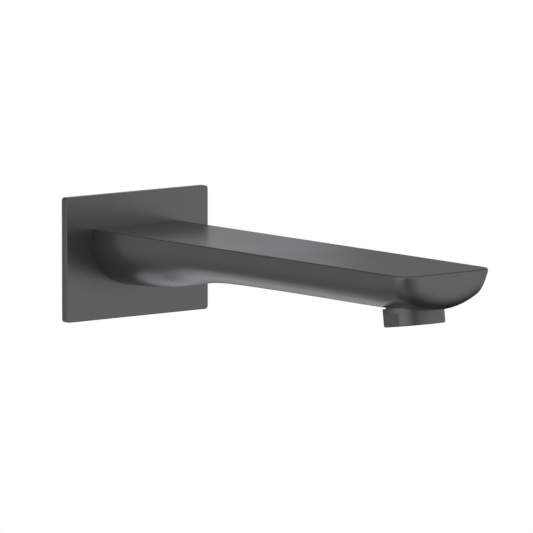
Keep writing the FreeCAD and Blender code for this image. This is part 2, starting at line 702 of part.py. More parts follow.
def make_aerator_honeycomb():
    """The honeycomb that straightens the flow: a disc with six-sided cells."""
    across, pitch = size("comb_cell"), size("comb_cell + comb_wall")
    radius, height, foot = size(COMB_RADIUS), size("comb_height"), size(COMB_FOOT)
    corner = across / math.sqrt(3)
    turns = [math.radians(60 * k) for k in range(7)]
    ring = [Vector(corner * math.sin(t), corner * math.cos(t), foot) for t in turns]
    reach = radius - size("comb_rim") - corner
    rows = 2 * math.ceil(radius / pitch)
    cells = []
    for i in range(-rows, rows + 1):
        for j in range(-rows, rows + 1):
            centre = Vector(pitch * (i + j / 2), pitch * j * math.sqrt(3) / 2, 0)
            if centre.Length <= reach:
                outline = Part.makePolygon([centre + point for point in ring])
                cells.append(Part.Face(outline).extrude(Vector(0, 0, height)))
    comb = doc.addObject("Part::Feature", "aerator_honeycomb")
    comb.Label = "aerator_honeycomb"
    comb.Shape = Part.makeCylinder(radius, height, Vector(0, 0, foot)).cut(Part.makeCompound(cells))
    on_outlet_axis(comb)
    return comb


PIECES = [
    make_wall_plate(),
    make_plate_seal(),
    make_ring("plate_ring", PLATE_RING_CENTRE, "plate_ring_section", "plate_thickness / 2"),
    make_wall_connector(),
    make_ring("connector_ring_rear", NIPPLE_RING_CENTRE, "ring_section", "first_ring_from_wall"),
    make_ring("connector_ring_front", NIPPLE_RING_CENTRE, "ring_section", SECOND_RING),
    make_grub_screw(),
    make_spout_body(),
    make_aerator_collar(),
    make_aerator_washer(),
    make_aerator_insert(),
    make_aerator_jet_disc(),
    make_aerator_screen(),
    make_aerator_honeycomb(),
]

doc.recompute()
for item in doc.Objects:
    if {"Invalid", "Error"} & set(item.State):
        raise SystemExit(f"{item.Name} failed: {item.State}")
for piece in PIECES:
    if piece.Shape.isNull() or not piece.Shape.isValid() or not piece.Shape.Solids:
        raise SystemExit(f"{piece.Label} has no valid solid")

os.makedirs("parts", exist_ok=True)
for piece in PIECES:
    piece.Shape.exportStep(f"parts/{piece.Label}.step")
    box = piece.Shape.optimalBoundingBox()
    print(f"{piece.Label:22} {piece.Shape.Volume:10.1f} mm3  "
          f"{box.XLength:6.1f} x {box.YLength:6.1f} x {box.ZLength:6.1f} mm")
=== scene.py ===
# %% [markdown]
# A wall-mounted bath spout, dressed for its portrait.
# The solids come from CAD with their real sizes, so this lesson is about looks: a satin anthracite
# finish on cast and milled metal, turned brass, rubber, foam and moulded plastic, and the soft studio
# light that shows them. Every length is in metres, in the CAD's own frame: the wall is the plane
# y = 0, the spout reaches along -Y, and +Z is up.

# %% Load the solids
import math
import bmesh
import bpy
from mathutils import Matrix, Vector


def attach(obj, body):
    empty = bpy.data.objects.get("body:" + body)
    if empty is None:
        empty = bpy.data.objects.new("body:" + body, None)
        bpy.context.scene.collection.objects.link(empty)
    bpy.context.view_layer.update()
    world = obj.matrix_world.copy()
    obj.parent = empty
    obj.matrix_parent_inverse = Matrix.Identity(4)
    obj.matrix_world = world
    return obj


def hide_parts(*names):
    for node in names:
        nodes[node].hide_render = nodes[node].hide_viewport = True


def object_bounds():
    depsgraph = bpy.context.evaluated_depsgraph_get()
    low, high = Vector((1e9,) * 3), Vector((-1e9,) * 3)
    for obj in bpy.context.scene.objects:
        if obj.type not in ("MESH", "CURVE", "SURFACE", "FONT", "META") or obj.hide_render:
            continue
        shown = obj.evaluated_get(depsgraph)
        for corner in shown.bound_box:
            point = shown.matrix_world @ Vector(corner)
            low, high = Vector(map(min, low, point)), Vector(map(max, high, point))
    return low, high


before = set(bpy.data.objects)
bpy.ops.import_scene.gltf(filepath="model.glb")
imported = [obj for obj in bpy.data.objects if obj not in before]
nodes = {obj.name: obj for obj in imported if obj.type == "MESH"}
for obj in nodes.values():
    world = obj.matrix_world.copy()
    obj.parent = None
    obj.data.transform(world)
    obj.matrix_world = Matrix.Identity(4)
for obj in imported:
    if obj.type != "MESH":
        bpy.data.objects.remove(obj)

cad_low, cad_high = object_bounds()
print("solids:", sorted(nodes))
print("size in mm:", [round(1000 * (high - low), 1) for low, high in zip(cad_low, cad_high)])

# %% [markdown]
# The camera comes first, because every later choice is judged through it.
# A product portrait like this one is taken from far away with a long lens: the plate's far edge is
# hardly smaller than its near edge. Moving the camera back and lengthening the lens by the same
# factor keeps the spout as large and only weakens the perspective, so the two are set together.

# %% Set up the camera
PHOTO_WIDTH = 533
FOCAL_LENGTH_PX = 9000
SENSOR_WIDTH_MM = 36.0
CAMERA_DISTANCE = 3.941
CAMERA_AZIMUTH = math.radians(38.595)
CAMERA_ELEVATION = math.radians(7.177)
FRAME_CENTRE = Vector((0, -0.110, 0))
CENTRE_TO_LEFT = 0.00892
CENTRE_TO_TOP = 0.004725
SIGHT_LIMIT = 100

forward = Vector((math.sin(CAMERA_AZIMUTH) * math.cos(CAMERA_ELEVATION),
                  math.cos(CAMERA_AZIMUTH) * math.cos(CAMERA_ELEVATION),
                  -math.sin(CAMERA_ELEVATION)))
rightward = Vector((math.cos(CAMERA_AZIMUTH), -math.sin(CAMERA_AZIMUTH), 0))
upward = rightward.cross(forward)
aim = FRAME_CENTRE - CENTRE_TO_LEFT * rightward + CENTRE_TO_TOP * upward

camera_data = bpy.data.cameras.new("portrait_camera")
camera_data.sensor_width = SENSOR_WIDTH_MM
camera_data.lens = SENSOR_WIDTH_MM * FOCAL_LENGTH_PX / PHOTO_WIDTH
camera_data.clip_end = SIGHT_LIMIT
camera = bpy.data.objects.new("portrait_camera", camera_data)
camera.location = aim - CAMERA_DISTANCE * forward
camera.rotation_mode = "QUATERNION"
camera.rotation_quaternion = forward.to_track_quat("-Z", "Y")
bpy.context.scene.collection.objects.link(camera)
bpy.context.scene.camera = camera
print("lens:", round(camera_data.lens, 1), "mm at", CAMERA_DISTANCE, "m")

# %% [markdown]
# Shader node groups are built once and used in several materials, like a small set of brushes.
# Two short helpers keep their making readable: one adds a node and sets its plain inputs, the other
# opens a group with named sockets.

# %% Helpers for node trees
def add_node(tree, kind, settings=None, **inputs):
    """Adds a node, sets its properties and then its inputs, which may be numbers or other sockets.

    An input is named by its label, or by its place, such as _1, where labels repeat.
    """
    node = tree.nodes.new(kind)
    for name, value in (settings or {}).items():
        setattr(node, name, value)
    for name, value in inputs.items():
        socket = node.inputs[int(name[1:])] if name[0] == "_" else node.inputs[name.replace("_", " ")]
        if isinstance(value, bpy.types.NodeSocket):
            tree.links.new(value, socket)
        else:
            socket.default_value = value
    return node


def open_group(name, inputs, outputs):
    """Starts a node group and returns its tree, its input sockets by name and its output node."""
    tree = bpy.data.node_groups.new(name, "ShaderNodeTree")
    for label, default in inputs.items():
        socket = tree.interface.new_socket(label, in_out="INPUT", socket_type="NodeSocketFloat")
        socket.default_value = default
    for label in outputs:
        tree.interface.new_socket(label, in_out="OUTPUT", socket_type="NodeSocketFloat")
    entry = tree.nodes.new("NodeGroupInput")
    return tree, entry.outputs, tree.nodes.new("NodeGroupOutput")


def place_group(tree, group, **inputs):
    """Puts a node group into a material."""
    return add_node(tree, "ShaderNodeGroup", {"node_tree": group}, **inputs)

# %% [markdown]
# No real surface is perfectly even. The finest unevenness is grain: tiny bumps that blur reflections
# on blasted and coated metal, or roughen rubber. The group below makes it from noise on the object's
# own coordinates, so it stays in place when the camera moves. It puts out a height for a bump and
# a mask between 0 and 1 for small changes of tone.

# %% Node group: grain
def make_grain():
    sockets = {"Grains per metre": 4000, "Softness": 0.5}
    tree, given, result = open_group("grain", sockets, ["Height", "Mask"])
    place = add_node(tree, "ShaderNodeTexCoord").outputs["Object"]
    fine = add_node(tree, "ShaderNodeTexNoise", Vector=place, Scale=given["Grains per metre"],
                    Detail=3.0, Roughness=given["Softness"])
    mask = add_node(tree, "ShaderNodeMapRange", {"interpolation_type": "SMOOTHSTEP"},
                    Value=fine.outputs["Fac"], From_Min=0.35, From_Max=0.65)
    tree.links.new(fine.outputs["Fac"], result.inputs["Height"])
    tree.links.new(mask.outputs["Result"], result.inputs["Mask"])
    return tree


grain = make_grain()
print("group:", grain.name, [item.name for item in grain.interface.items_tree])

# %% [markdown]
# Larger and fainter are clouds: slow changes of gloss left by polishing, coating, handling and age.
# The same group serves every finish. It turns a slow noise into any range of values.

# %% Node group: clouds
def make_clouds():
    sockets = {"Clouds per metre": 30, "Low": 0.3, "High": 0.4}
    tree, given, result = open_group("clouds", sockets, ["Value"])
    place = add_node(tree, "ShaderNodeTexCoord").outputs["Object"]
    slow = add_node(tree, "ShaderNodeTexNoise", Vector=place, Scale=given["Clouds per metre"], Detail=2.0)
    ranged = add_node(tree, "ShaderNodeMapRange", Value=slow.outputs["Fac"], From_Min=0.3, From_Max=0.7,
                      To_Min=given["Low"], To_Max=given["High"])
    tree.links.new(ranged.outputs["Result"], result.inputs["Value"])
    return tree


clouds = make_clouds()
print("group:", clouds.name)

# %% [markdown]
# Turned metal carries the marks of its lathe: very fine rings round the axis of turning. The
# connector and its parts are turned about the Y axis, so the rings depend only on y. A wave along y
# with a little noise in its pace looks like a tool that feeds steadily, but not perfectly.

# %% Node group: turning marks
def make_turning_marks():
    sockets = {"Marks per metre": 3000, "Waver": 0.6}
    tree, given, result = open_group("turning_marks", sockets, ["Height"])
    place = add_node(tree, "ShaderNodeTexCoord").outputs["Object"]
    marks = add_node(tree, "ShaderNodeTexWave", {"wave_type": "BANDS", "bands_direction": "Y"},
                     Vector=place, Scale=given["Marks per metre"], Distortion=given["Waver"],
                     Detail=1.0, Detail_Scale=0.2)
    tree.links.new(marks.outputs["Fac"], result.inputs["Height"])
    return tree


turning_marks = make_turning_marks()
print("group:", turning_marks.name)

# %% [markdown]
# The visible metal is one finish: satin anthracite, a thin hard coat over brass and zinc. A plain metal
# would turn black wherever nothing bright is mirrored, but the real coat keeps a dark grey there, as a
# paint does. So Metallic stays at about two thirds over a dark base. The roughness decides how soft
# the mirrored plate looks in the spout's flat top.

# %% Material: satin anthracite
def start_material(name):
    """An empty node material with one Principled BSDF."""
    material = bpy.data.materials.new(name)
    material.use_nodes = True
    tree = material.node_tree
    tree.nodes.clear()
    shader = add_node(tree, "ShaderNodeBsdfPrincipled")
    add_node(tree, "ShaderNodeOutputMaterial", Surface=shader.outputs["BSDF"])
    return material, tree, shader


def blend_tones(tree, mask, dark, light):
    """A colour between two greys or tints, chosen by a mask."""
    mix = add_node(tree, "ShaderNodeMix", {"data_type": "RGBA"}, _0=mask, _6=(*dark, 1), _7=(*light, 1))
    return mix.outputs[2]


def add_bump(tree, shader, height, strength, distance):
    """Feeds a height into the shader's normal."""
    bump = add_node(tree, "ShaderNodeBump", Strength=strength, Distance=distance, Height=height)
    tree.links.new(bump.outputs["Normal"], shader.inputs["Normal"])


def make_satin_anthracite():
    material, tree, shader = start_material("satin_anthracite")
    speck = place_group(tree, grain, Grains_per_metre=5200, Softness=0.6)
    sheen = place_group(tree, clouds, Clouds_per_metre=24, Low=0.26, High=0.30)
    tone = blend_tones(tree, speck.outputs["Mask"], dark=(0.096, 0.096, 0.098), light=(0.104, 0.104, 0.105))
    tree.links.new(tone, shader.inputs["Base Color"])
    tree.links.new(sheen.outputs["Value"], shader.inputs["Roughness"])
    shader.inputs["Metallic"].default_value = 0.65
    add_bump(tree, shader, speck.outputs["Height"], strength=0.06, distance=0.0001)
    return material


satin_anthracite = make_satin_anthracite()
print("material:", satin_anthracite.name)

# %% [markdown]
# The connector behind the plate is left as it comes off the lathe: bright brass, a warm yellow metal
# with fine rings. Its colour drifts a little where it has been handled, so two brass tones are mixed
# by a slow noise, and the rings go into the bump.

# %% Material: turned brass
def make_turned_brass():
    material, tree, shader = start_material("turned_brass")
    rings = place_group(tree, turning_marks, Marks_per_metre=2600, Waver=0.8)
    handled = place_group(tree, clouds, Clouds_per_metre=90, Low=0.0, High=1.0)
    gloss = place_group(tree, clouds, Clouds_per_metre=60, Low=0.22, High=0.34)
    tone = blend_tones(tree, handled.outputs["Value"], dark=(0.56, 0.36, 0.13), light=(0.68, 0.47, 0.20))
    tree.links.new(tone, shader.inputs["Base Color"])
    tree.links.new(gloss.outputs["Value"], shader.inputs["Roughness"])
    shader.inputs["Metallic"].default_value = 1.0
    add_bump(tree, shader, rings.outputs["Height"], strength=0.25, distance=0.00003)
    return material


turned_brass = make_turned_brass()
print("material:", turned_brass.name)

# %% [markdown]
# The grub screw is stainless steel. It is so small that only two things show: a pale grey metal, and
# a gloss that is broken by fine grain instead of being a mirror.

# %% Material: screw steel
def make_screw_steel():
    material, tree, shader = start_material("screw_steel")
    speck = place_group(tree, grain, Grains_per_metre=9000, Softness=0.55)
    gloss = place_group(tree, clouds, Clouds_per_metre=300, Low=0.24, High=0.38)
    tone = blend_tones(tree, speck.outputs["Mask"], dark=(0.46, 0.46, 0.47), light=(0.58, 0.58, 0.60))
    tree.links.new(tone, shader.inputs["Base Color"])
    tree.links.new(gloss.outputs["Value"], shader.inputs["Roughness"])
    shader.inputs["Metallic"].default_value = 1.0
    add_bump(tree, shader, speck.outputs["Height"], strength=0.12, distance=0.00003)
    return material


screw_steel = make_screw_steel()
print("material:", screw_steel.name)

# %% [markdown]
# Seal rings and the flat washer are black rubber. Rubber isn't a metal, so Metallic stays 0, and what
# makes it look soft is a dull, slightly uneven gloss over a nearly black base with a dusty grey bloom.

# %% Material: black rubber
def make_black_rubber():
    material, tree, shader = start_material("seal_rubber")
    speck = place_group(tree, grain, Grains_per_metre=7000, Softness=0.7)
    bloom = place_group(tree, clouds, Clouds_per_metre=160, Low=0.0, High=1.0)
    gloss = place_group(tree, clouds, Clouds_per_metre=110, Low=0.48, High=0.66)
    tone = blend_tones(tree, bloom.outputs["Value"], dark=(0.014, 0.014, 0.015), light=(0.03, 0.03, 0.031))
    tree.links.new(tone, shader.inputs["Base Color"])
    tree.links.new(gloss.outputs["Value"], shader.inputs["Roughness"])
    add_bump(tree, shader, speck.outputs["Height"], strength=0.2, distance=0.00005)
    return material


seal_rubber = make_black_rubber()
print("material:", seal_rubber.name)

# %% [markdown]
# The seal behind the plate is closed-cell foam: a dark sheet full of sealed bubbles half a millimetre
# wide. A Voronoi texture splits space into such cells. The distance to the nearest cell centre gives
# each bubble its dome for the bump, and the cell's random colour makes some bubbles a little paler.

# %% Material: closed-cell foam
def make_seal_foam():
    material, tree, shader = start_material("seal_foam")
    place = add_node(tree, "ShaderNodeTexCoord").outputs["Object"]
    bubbles = add_node(tree, "ShaderNodeTexVoronoi", Vector=place, Scale=2100.0)
    shade = add_node(tree, "ShaderNodeSeparateColor", Color=bubbles.outputs["Color"])
    wear = place_group(tree, clouds, Clouds_per_metre=70, Low=0.72, High=0.88)
    tone = blend_tones(tree, shade.outputs["Red"], dark=(0.050, 0.050, 0.052), light=(0.095, 0.095, 0.097))
    tree.links.new(tone, shader.inputs["Base Color"])
    tree.links.new(wear.outputs["Value"], shader.inputs["Roughness"])
    add_bump(tree, shader, bubbles.outputs["Distance"], strength=0.5, distance=0.0002)
    return material


seal_foam = make_seal_foam()
print("material:", seal_foam.name)

# %% [markdown]
# The aerator's inner parts are moulded plastic, the insert and the jet disc white, the screen and the
# honeycomb grey. A mould gives plastic its own skin: an even, fine spark-eroded texture, and faint
# streaks where the melt flowed. One recipe serves both colours.

# %% Materials: moulded plastics
def make_moulded_plastic(name, dark, light):
    material, tree, shader = start_material(name)
    texture = place_group(tree, grain, Grains_per_metre=6000, Softness=0.5)
    flow = place_group(tree, clouds, Clouds_per_metre=140, Low=0.0, High=1.0)
    gloss = place_group(tree, clouds, Clouds_per_metre=200, Low=0.34, High=0.46)
    tone = blend_tones(tree, flow.outputs["Value"], dark, light)
    tree.links.new(tone, shader.inputs["Base Color"])
    tree.links.new(gloss.outputs["Value"], shader.inputs["Roughness"])
    add_bump(tree, shader, texture.outputs["Height"], strength=0.1, distance=0.00004)
    return material


white_plastic = make_moulded_plastic("moulded_white", (0.70, 0.70, 0.67), (0.80, 0.80, 0.78))
grey_plastic = make_moulded_plastic("moulded_grey", (0.17, 0.18, 0.19), (0.23, 0.24, 0.25))
print("materials:", white_plastic.name, grey_plastic.name)

# %% [markdown]
# The connector gets its own mesh, because the solid is plain where the real one has a pipe thread.
# A turned piece is one profile swept round its axis, and a thread is a ripple on that profile whose
# phase turns with the angle. So the mesh is a grid: one row per point of the profile, one column per
# angle. The half-inch pipe thread has 14 turns to the inch, with rounded crests and roots, which a
# cosine draws well. The bore inside is the hexagon that takes the key.

# %% The connector's profile
MM = 0.001
# In millimetres: radii of the turned steps, and distances from the wall, where minus is into the wall
THREAD_CREST, THREAD_LEAD, THREAD_FROM, THREAD_TO = 10.478, 1.0, -14.5, -1.5
UNDERCUT = 9.278
FLANGE, FLANGE_EDGE, FLANGE_FROM, FLANGE_TO = 12.4, 0.2, 0.3, 3.2
NIPPLE, NIPPLE_LEAD, NIPPLE_END = 9.95, 1.2, 28.5
RING_GROOVE, RING_HALF, RING_CENTRES = 8.19, 1.1, (9.0, 14.5)
SCREW_GROOVE, SCREW_HALF, SCREW_FROM_WALL = 8.35, 1.3, 21.0
THREAD_PITCH = 25.4 / 14
THREAD_DEPTH, THREAD_FADE = 1.16, 0.9
ROWS_PER_TURN = 14


def turned_profile():
    """Radius and distance from the wall, point by point from the thread to the nipple's end."""
    line = [(THREAD_CREST - THREAD_LEAD, THREAD_FROM), (THREAD_CREST, THREAD_FROM + THREAD_LEAD),
            (THREAD_CREST, THREAD_TO), (UNDERCUT, THREAD_TO), (UNDERCUT, FLANGE_FROM),
            (FLANGE - FLANGE_EDGE, FLANGE_FROM), (FLANGE, FLANGE_FROM + FLANGE_EDGE),
            (FLANGE, FLANGE_TO - FLANGE_EDGE), (FLANGE - FLANGE_EDGE, FLANGE_TO), (NIPPLE, FLANGE_TO)]
    grooves = [(centre, RING_GROOVE, RING_HALF, 0.0) for centre in RING_CENTRES]
    grooves.append((SCREW_FROM_WALL, SCREW_GROOVE, SCREW_HALF, NIPPLE - SCREW_GROOVE))
    for centre, floor, half, bevel in grooves:
        line += [(NIPPLE, centre - half - bevel), (floor, centre - half), (floor, centre + half),
                 (NIPPLE, centre + half + bevel)]
    return line + [(NIPPLE, NIPPLE_END - NIPPLE_LEAD), (NIPPLE - NIPPLE_LEAD, NIPPLE_END)]


def profile_rows():
    """The profile with extra rows along the thread."""
    profile = turned_profile()
    dense = []
    for (r0, z0), (r1, z1) in zip(profile, profile[1:]):
        threaded = z1 <= THREAD_TO and z1 > z0
        steps = max(1, round((z1 - z0) / THREAD_PITCH * ROWS_PER_TURN)) if threaded else 1
        dense += [(r0 + (r1 - r0) * k / steps, z0 + (z1 - z0) * k / steps) for k in range(steps)]
    return dense + profile[-1:]


rows = profile_rows()
print("profile rows:", len(rows))

# %% The thread and the key's hexagon
KEY_CORNER, KEY_LEAD = 6.93, 0.5
SIXTH = math.tau / 6


def threaded_radius(radius, distance, angle):
    """The radius with the thread cut into it, faded out before the undercut."""
    if not THREAD_FROM <= distance <= THREAD_TO:
        return radius
    phase = distance / THREAD_PITCH - angle / math.tau
    fade = min(1.0, (THREAD_TO - distance) / THREAD_FADE)
    groove = THREAD_DEPTH * fade * (0.5 - 0.5 * math.cos(math.tau * phase))
    return min(radius, THREAD_CREST - groove)


def key_radius(angle):
    """The hexagon's radius at an angle, its corners at 0, 60 and so on."""
    return KEY_CORNER * math.cos(SIXTH / 2) / math.cos(angle % SIXTH - SIXTH / 2)


print("key across flats in mm:", round(2 * key_radius(SIXTH / 2), 2))

# %% The connector's mesh
COLUMNS = 96
CONNECTOR_CREASE = math.radians(32)


def make_connector():
    angles = [math.tau * k / COLUMNS for k in range(COLUMNS)]
    mouth = key_radius(SIXTH / 2) + KEY_LEAD
    rings = [[(threaded_radius(radius, distance, a), distance) for a in angles]
             for radius, distance in rows]
    rings += [[(max(key_radius(a), mouth), NIPPLE_END) for a in angles],
              [(key_radius(a), NIPPLE_END - KEY_LEAD) for a in angles],
              [(key_radius(a), THREAD_FROM) for a in angles]]
    points = [(r * math.cos(a) * MM, -z * MM, r * math.sin(a) * MM)
              for ring in rings for (r, z), a in zip(ring, angles)]
    faces = []
    for i in range(len(rings)):
        here, there = i * COLUMNS, (i + 1) % len(rings) * COLUMNS
        for k in range(COLUMNS):
            onward = (k + 1) % COLUMNS
            faces.append((here + k, there + k, there + onward, here + onward))
    mesh = bpy.data.meshes.new("threaded_connector")
    mesh.from_pydata(points, [], faces)
    mesh.shade_smooth()
    mesh.set_sharp_from_angle(angle=CONNECTOR_CREASE)
    mesh.materials.append(turned_brass)
    piece = bpy.data.objects.new("threaded_connector", mesh)
    bpy.context.scene.collection.objects.link(piece)
    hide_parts("wall_connector")
    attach(piece, "root")
    return piece


connector = make_connector()
print("connector faces:", len(connector.data.polygons))

# %% [markdown]
# The spout itself is a casting, and its charm is one long curved surface: a flat top, two short
# upright sides, and a belly of three tangent arcs that is deep at the wall, thin along the arm and
# rounded at the nose. A solid from CAD arrives as triangles of very different sizes, and soft light
# shows those as creases. So the skin is built here as an even grid: one row per distance from the
# wall, one column per point round the section. Only a few sections are written down, and a smooth
# curve through them gives the rows between.

# %% The casting's sections
SPOUT_HALF_WIDTH = round(max(corner[0] for corner in nodes["spout_body"].bound_box) / MM, 2)
SPOUT_REACH = round(-cad_low[1] / MM, 2)
# The top lies just over the plate's bore, whose radius is 13 mm
SPOUT_TOP = 13.02
TOP_ROLL = 0.75
# Distance from the wall, upright part of the side, and depth under the flat top, in millimetres
SPOUT_SECTIONS = [
    (3.5, 6.2, 26.85), (26.0, 5.6, 25.75), (38.0, 5.0, 24.3), (50.0, 4.5, 22.1), (62.0, 4.3, 20.25),
    (76.0, 4.3, 19.25), (100.0, 4.3, 18.8), (142.5, 4.2, 18.7), (185.0, 4.0, 18.75), (200.0, 3.3, 18.3),
    (211.0, 2.2, 17.2), (SPOUT_REACH, 1.2, 15.9),
]
# The belly's corner arcs, against those of a half ellipse, and their largest share of its depth
CORNER_SHARE, CORNER_LIMIT = 1.3, 0.93
SIDE_COLUMN, DEPTH_COLUMN = 1, 2
SIDE_STEPS, CORNER_STEPS, BELLY_STEPS = 3, 20, 22


def slope_at(number, column):
    """How fast a column of the table changes at one of its rows."""
    before = SPOUT_SECTIONS[max(number - 1, 0)]
    after = SPOUT_SECTIONS[min(number + 1, len(SPOUT_SECTIONS) - 1)]
    return (after[column] - before[column]) / (after[0] - before[0])


def between(distance, column):
    """A column's value at any distance, on a smooth curve through the table."""
    number = max((k for k, row in enumerate(SPOUT_SECTIONS[:-1]) if row[0] <= distance), default=0)
    start, end = SPOUT_SECTIONS[number], SPOUT_SECTIONS[number + 1]
    span = end[0] - start[0]
    t = (distance - start[0]) / span
    return ((2 * t ** 3 - 3 * t ** 2 + 1) * start[column] + (3 * t ** 2 - 2 * t ** 3) * end[column]
            + (t ** 3 - 2 * t ** 2 + t) * span * slope_at(number, column)
            + (t ** 3 - t ** 2) * span * slope_at(number + 1, column))


def section_line(distance):
    """Side, belly and other side: each point across and up from the top, and its outward direction."""
    side, depth = between(distance, SIDE_COLUMN), between(distance, DEPTH_COLUMN)
    drop = depth - side
    corner = min(CORNER_SHARE * drop ** 2 / SPOUT_HALF_WIDTH, CORNER_LIMIT * drop)
    middle = SPOUT_HALF_WIDTH - corner
    belly = (middle ** 2 + drop ** 2 - corner ** 2) / (2 * (drop - corner))
    lean = math.asin(middle / (belly - corner))
    down = 1.5 * math.pi
    upright = [TOP_ROLL + (side - TOP_ROLL) * k / SIDE_STEPS for k in range(1, SIDE_STEPS)]
    arcs = ((-middle, -side, corner, math.pi, down - lean, CORNER_STEPS),
            (0.0, belly - depth, belly, down - lean, down + lean, BELLY_STEPS),
            (middle, -side, corner, down + lean, math.tau, CORNER_STEPS))
    line = [(-SPOUT_HALF_WIDTH, -z, -1.0, 0.0) for z in upright]
    for centre_x, centre_z, radius, start, end, steps in arcs:
        for k in range(steps):
            angle = start + (end - start) * k / steps
            across, up = math.cos(angle), math.sin(angle)
            line.append((centre_x + radius * across, centre_z + radius * up, across, up))
    return line + [(SPOUT_HALF_WIDTH, -z, 1.0, 0.0) for z in [side] + upright[::-1]]


print("half width and reach in mm:", SPOUT_HALF_WIDTH, SPOUT_REACH)
print("points round a section:", len(section_line(SPOUT_REACH)))

# %% [markdown]
# At the nose every row is still a section, but it is pushed inwards along its own outward directions
# while it moves forward, so the grid rolls over into the flat front. A quarter circle would start and
# stop too suddenly and show as a bright line, so the roll follows a curve of power 2.6, which eases in
# and out. It is widest halfway round. The top's edge is rolled too, by three quarters of a millimetre:
# that thin roll is the dark line round the top in the photograph.

# %% The casting's rows
# The roll's radius in millimetres: at the top's edge, halfway round and under the belly
NOSE_ROUNDS = 9.2, 11.0, 8.4
NOSE_POWER = 2.6
NOSE_STEPS, ROLL_STEPS = 18, 6
ROOT_ROW_STEP, ARM_ROW_STEP, ROOT_ENDS_AT = 1.5, 3.0, 80.0


def nose_round(downward):
    """The roll's radius on a smooth curve, from 0 at the top's edge to 1 under the belly."""
    top, middle, belly = NOSE_ROUNDS
    return (top * (1 - downward) * (1 - 2 * downward) + middle * 4 * downward * (1 - downward)
            + belly * downward * (2 * downward - 1))


def nose_place(roll, turn):
    """How far from the wall a rolling point is, and how far it is pushed inwards."""
    along, inwards = (abs(part) ** (2 / NOSE_POWER) for part in (math.sin(turn), math.cos(turn)))
    return SPOUT_REACH - roll * (1 - along), roll * (1 - inwards)


def skin_row(turn, distance=None):
    """A row from the top's left edge round the belly to its right edge; turn is 0 along the arm."""
    ring = []
    for number, (_, _, _, up) in enumerate(section_line(SPOUT_REACH)):
        roll = nose_round(max(0.0, -up))
        place, inset = nose_place(roll, turn) if distance is None else (distance, 0.0)
        x, z, across, height = section_line(place)[number]
        ring.append((x - across * inset, -place, z - height * inset))
    place, inset = nose_place(NOSE_ROUNDS[0], turn) if distance is None else (distance, 0.0)
    left, right = [], []
    for k in range(ROLL_STEPS + 1):
        lift = math.pi / 2 * k / ROLL_STEPS
        back = TOP_ROLL * (1 - math.cos(lift))
        across = SPOUT_HALF_WIDTH - inset - back * math.cos(turn)
        along, up = back * math.sin(turn) - place, TOP_ROLL * (math.sin(lift) - 1)
        left.insert(0, (-across, along, up))
        right.append((across, along, up))
    return [(x * MM, y * MM, (SPOUT_TOP + z) * MM) for x, y, z in left + ring + right]


def skin_rows():
    """All rows from the plate to the front."""
    distances, distance = [], SPOUT_SECTIONS[0][0]
    while distance < SPOUT_REACH - max(NOSE_ROUNDS):
        distances.append(distance)
        distance += ROOT_ROW_STEP if distance < ROOT_ENDS_AT else ARM_ROW_STEP
    return ([skin_row(0.0, distance) for distance in distances[:-1]]
            + [skin_row(math.pi / 2 * k / NOSE_STEPS) for k in range(NOSE_STEPS + 1)])


skin = skin_rows()
print("rows:", len(skin), "points in a row:", len(skin[0]))

# %% [markdown]
# A casting is machined after it is cast: a lathe bores the socket that slides over the connector, and
# the outlet is counterbored and threaded for the aerator on an axis that leans towards the bath. The
# grub screw comes up through a small hole. Each of these cuts is a turned shape, so one helper makes
# them all, and a Boolean modifier takes them away from the skin.

# %% The machined cuts
CUT_COLUMNS = 96
# The cuts' sizes in millimetres. A cut starts a little past the face that it opens
CUT_PAST = 1.0
ROOT_FROM_WALL = 3.5
SOCKET, SOCKET_LEAD, SOCKET_DEPTH = 10.05, 0.8, 26.0
THROAT, THROAT_END = 7.5, 35.5
OUTLET_FROM_WALL, OUTLET_HEIGHT, OUTLET_TILT = 196.8, -3.3, math.radians(8.2)
SEAT, SEAT_BELOW = 13.6, 12.0
OUTLET_THREAD, OUTLET_THREAD_DEPTH = 12.05, 5.7
OUTLET_BORE, OUTLET_END = 9.6, 8.4
SCREW_HOLE, SCREW_HOLE_TOP, SCREW_HOLE_END = 2.56, 8.0, 20.0
# Each cut: where its axis starts, which way the axis points, and radius and height along it
MACHINED_CUTS = [
    ((0.0, -ROOT_FROM_WALL, 0.0), (0.0, -1.0, 0.0),
     [(SOCKET + SOCKET_LEAD + CUT_PAST, -CUT_PAST), (SOCKET, SOCKET_LEAD), (SOCKET, SOCKET_DEPTH),
      (THROAT, SOCKET_DEPTH), (THROAT, THROAT_END)]),
    ((0.0, -OUTLET_FROM_WALL, OUTLET_HEIGHT), (0.0, math.sin(OUTLET_TILT), math.cos(OUTLET_TILT)),
     [(SEAT, -SEAT_BELOW), (SEAT, 0.0), (OUTLET_THREAD, 0.0), (OUTLET_THREAD, OUTLET_THREAD_DEPTH),
      (OUTLET_BORE, OUTLET_THREAD_DEPTH), (OUTLET_BORE, OUTLET_END)]),
    ((0.0, -SCREW_FROM_WALL, 0.0), (0.0, 0.0, -1.0),
     [(SCREW_HOLE, SCREW_HOLE_TOP), (SCREW_HOLE, SCREW_HOLE_END)]),
]


def link_mesh(name, points, faces):
    """A new object in the scene, its faces turned outwards."""
    mesh = bpy.data.meshes.new(name)
    mesh.from_pydata(points, [], faces)
    shaped = bmesh.new()
    shaped.from_mesh(mesh)
    bmesh.ops.recalc_face_normals(shaped, faces=shaped.faces)
    shaped.to_mesh(mesh)
    shaped.free()
    piece = bpy.data.objects.new(name, mesh)
    bpy.context.scene.collection.objects.link(piece)
    return piece


